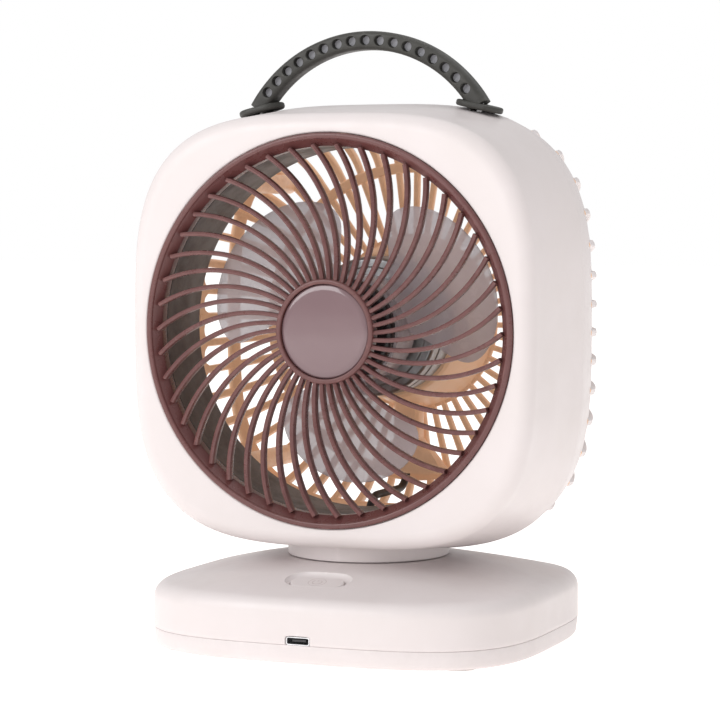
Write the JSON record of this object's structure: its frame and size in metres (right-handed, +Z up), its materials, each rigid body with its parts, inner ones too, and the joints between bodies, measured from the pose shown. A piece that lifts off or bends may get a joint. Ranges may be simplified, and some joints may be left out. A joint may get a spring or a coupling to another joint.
{
  "type": "oscillating desk fan",
  "caption": "Small rounded-square desk fan: swept front grille, ribbed back, strap handle, on a rounded base with a power button, in which the head swings.",
  "frame": {"origin": "centre of the base's footprint on the surface it stands on, on the head's swing axis", "axes": "+Z up, -Y is the direction in which the fan blows (its front), +X to the right seen from the front"},
  "size_m": [0.157, 0.127, 0.2148],
  "materials": {
    "shell_plastic": "fine satin moulded plastic",
    "brown_plastic": "satin moulded plastic",
    "badge_plastic": "polished plastic disc",
    "duct_plastic": "matt moulded plastic",
    "tan_plastic": "matt moulded plastic",
    "blade_plastic": "smoky translucent plastic",
    "hub_plastic": "glossy dark plastic",
    "strap_rubber": "matt soft rubber",
    "soft_rubber": "matt rubber",
    "dark_plastic": "matt",
    "white_acetal": "smooth acetal",
    "board_laminate": "solder mask",
    "cell_sleeve": "shrink sleeve",
    "motor_steel": "plated steel",
    "screw_steel": "zinc plated",
    "socket_steel": "nickel plated",
    "shaft_steel": "ground steel",
    "copper_winding": "enamelled copper wire",
    "magnet": "sintered magnet",
    "lead_sheath": "vinyl sheath"
  },
  "bodies": {
    "base": {"base_lower_shell": "shell_plastic", "base_upper_shell": "shell_plastic", "rubber_feet": "soft_rubber", "base_screws": "screw_steel", "usb_socket": "socket_steel", "usb_tongue": "dark_plastic", "main_board": "board_laminate", "board_screws": "screw_steel", "power_switch": "dark_plastic", "battery_cells": "cell_sleeve", "swing_motor": "motor_steel", "swing_motor_screws": "screw_steel", "neck_bush": "white_acetal"},
    "button": {"power_button": "shell_plastic", "switch_plunger": "screw_steel"},
    "pinion": {"drive_pinion": "white_acetal", "pinion_shaft": "shaft_steel"},
    "head": {"neck": "shell_plastic", "swing_gear": "white_acetal", "gear_washer": "screw_steel", "gear_screws": "screw_steel", "front_housing": "shell_plastic", "rear_cover": "shell_plastic", "housing_screws": "screw_steel", "front_grille": "brown_plastic", "grille_badge": "badge_plastic", "air_duct": "duct_plastic", "duct_screws": "screw_steel", "motor_frame": "tan_plastic", "frame_screws": "screw_steel", "motor_can": "motor_steel", "motor_stator": "copper_winding", "motor_bearings": "shaft_steel", "motor_screws": "screw_steel", "motor_lead": "lead_sheath", "handle_strap": "strap_rubber", "handle_plates": "screw_steel", "handle_screws": "screw_steel"},
    "impeller": {"impeller_hub": "hub_plastic", "fan_blades": "blade_plastic", "motor_rotor": "magnet", "motor_shaft": "shaft_steel"}
  },
  "joints": [
    {"name": "head_swing", "type": "hinge", "parent": "base", "child": "head", "pos_m": [0, 0, 0.03], "axis": [0, 0, 1], "range_deg": [-40, 40]},
    {"name": "pinion_turn", "type": "hinge", "parent": "base", "child": "pinion", "pos_m": [0.028, 0, 0.0195], "axis": [0, 0, 1], "range_deg": [-125, 125]},
    {"name": "button_press", "type": "slide", "parent": "base", "child": "button", "axis": [0, 0, 1], "range_m": [-0.0008, 0], "stiffness_N_per_m": 2000},
    {"name": "fan_spin", "type": "hinge", "parent": "head", "child": "impeller", "pos_m": [0, 0, 0.1108], "axis": [0, -1, 0], "continuous": true}
  ],
  "couplings": [
    {"joint": "pinion_turn", "follows": "head_swing", "ratio": -3}
  ]
}
